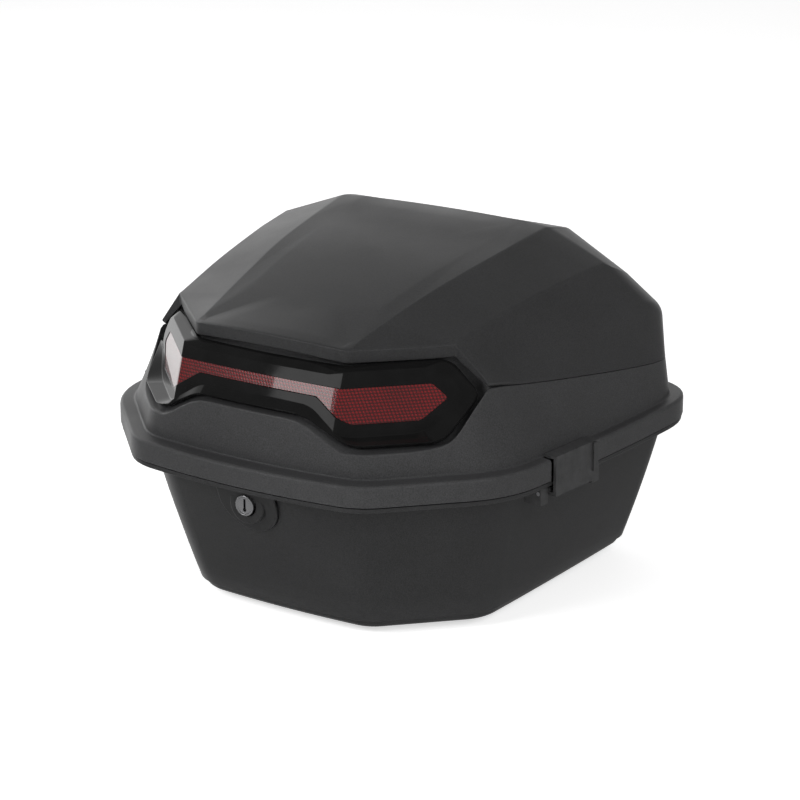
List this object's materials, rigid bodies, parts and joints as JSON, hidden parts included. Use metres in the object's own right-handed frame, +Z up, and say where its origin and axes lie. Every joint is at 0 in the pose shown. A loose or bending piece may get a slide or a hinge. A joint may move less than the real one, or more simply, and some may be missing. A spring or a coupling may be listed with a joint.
{
  "type": "motorcycle top case",
  "caption": "Hard motorcycle top case with a faceted hinged lid, a wide wrap-around red rear reflector in a gloss bezel, a key lock, side clips and a drafted tub that bolts to a carrier",
  "frame": {"origin": "bottom centre of the case's bounding box, on the surface it stands on", "axes": "+X to the right seen from the locked rear face, +Y towards the front of the motorcycle, where the hinges are, +Z up; the lock faces -Y"},
  "size_m": [0.4002, 0.366, 0.2724],
  "materials": {
    "tub_plastic": "moulded, fine grain",
    "lid_plastic": "moulded, fine grain",
    "cover_plastic": "moulded, fine grain",
    "clip_plastic": "moulded, fine grain",
    "lock_plastic": "moulded, satin",
    "bezel_gloss": "polished",
    "lens_red": "clear red with moulded prisms",
    "backing_red": "prismatic",
    "seal_rubber": "soft",
    "mat_rubber": "ribbed",
    "steel": "zinc plated",
    "lock_metal": "satin chrome"
  },
  "bodies": {
    "base": {"base_shell": "tub_plastic", "lid_seal": "seal_rubber", "floor_mat": "mat_rubber", "backing_plate": "steel", "base_hinge_left": "tub_plastic", "base_hinge_right": "tub_plastic", "hinge_pin_left": "steel", "hinge_pin_right": "steel", "clip_bracket_left": "tub_plastic", "clip_bracket_right": "tub_plastic", "clip_pin_left": "steel", "clip_pin_right": "steel", "lock_housing": "lock_plastic", "lock_nut": "steel", "base_hinge_screws": "steel"},
    "lid": {"lid_shell": "lid_plastic", "lid_cover": "cover_plastic", "reflector_bezel": "bezel_gloss", "reflector_lens": "lens_red", "reflector_backing": "backing_red", "lid_hinge_left": "lid_plastic", "lid_hinge_right": "lid_plastic", "lid_hinge_screws": "steel", "cover_screws": "steel", "bezel_screws": "steel", "striker": "steel", "striker_screws": "steel"},
    "lock_barrel": {"lock_cylinder": "lock_metal", "lock_cam": "steel", "cam_screw": "steel"},
    "clip_left": {"side_clip_left": "clip_plastic"},
    "clip_right": {"side_clip_right": "clip_plastic"}
  },
  "joints": [
    {"name": "lid_hinge", "type": "hinge", "parent": "base", "child": "lid", "pos_m": [0, 0.1775, 0.124], "axis": [-1, 0, 0], "range_deg": [0, 78]},
    {"name": "key_turn", "type": "hinge", "parent": "base", "child": "lock_barrel", "pos_m": [0, -0.15, 0.1055], "axis": [0, 1, 0], "range_deg": [0, 90]},
    {"name": "clip_right_turn", "type": "hinge", "parent": "base", "child": "clip_right", "pos_m": [0.18404, -0.01982, 0.1146], "axis": [0.1132, 0.9936, 0], "range_deg": [0, 70]},
    {"name": "clip_left_turn", "type": "hinge", "parent": "base", "child": "clip_left", "pos_m": [-0.18404, -0.01982, 0.1146], "axis": [0.1132, -0.9936, 0], "range_deg": [0, 70]}
  ]
}
